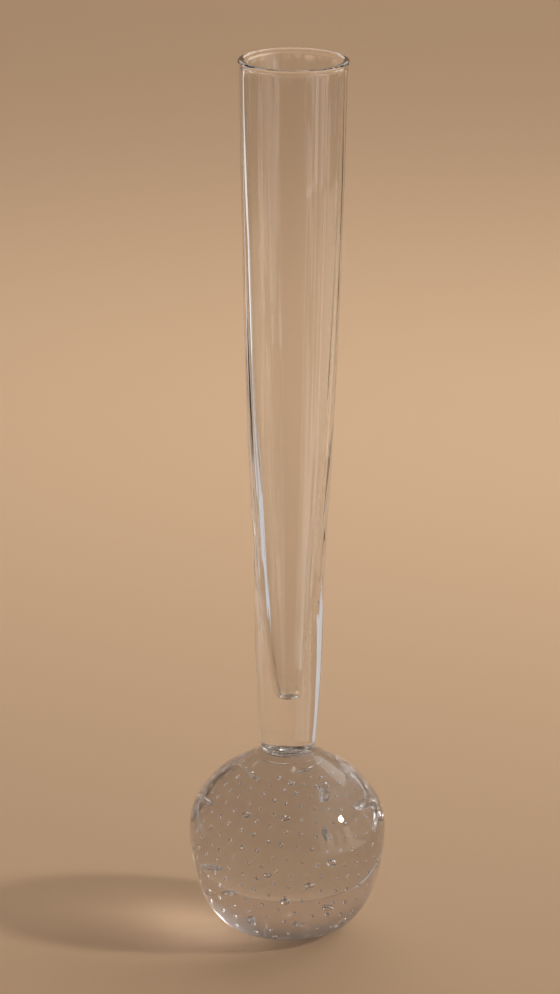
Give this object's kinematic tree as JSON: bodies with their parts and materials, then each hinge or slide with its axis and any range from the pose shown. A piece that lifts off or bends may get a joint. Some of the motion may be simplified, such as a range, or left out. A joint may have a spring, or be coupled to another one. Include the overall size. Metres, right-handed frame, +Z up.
{
  "type": "bubble ball bud vase",
  "caption": "Clear hand blown glass bud vase: a tall tapered hollow stem fused on a solid ball of glass with trapped air bubbles, standing on a flat polished foot.",
  "frame": {"origin": "centre of the flat foot, on the surface the vase stands on", "axes": "+Z up along the vase's own axis, from the foot to the lip; the vase is the same all round, so +X and +Y are arbitrary"},
  "size_m": [0.0636, 0.0636, 0.29],
  "materials": {
    "core_glass": "clear glass, pricked with rows of pits that hold air bubbles",
    "casing_glass": "clear fire-polished glass with a flat polished foot",
    "stem_glass": "clear fire-polished glass with faint draw lines"
  },
  "bodies": {
    "root": {"ball_core": "core_glass", "ball_casing": "casing_glass", "stem": "stem_glass"}
  },
  "joints": []
}
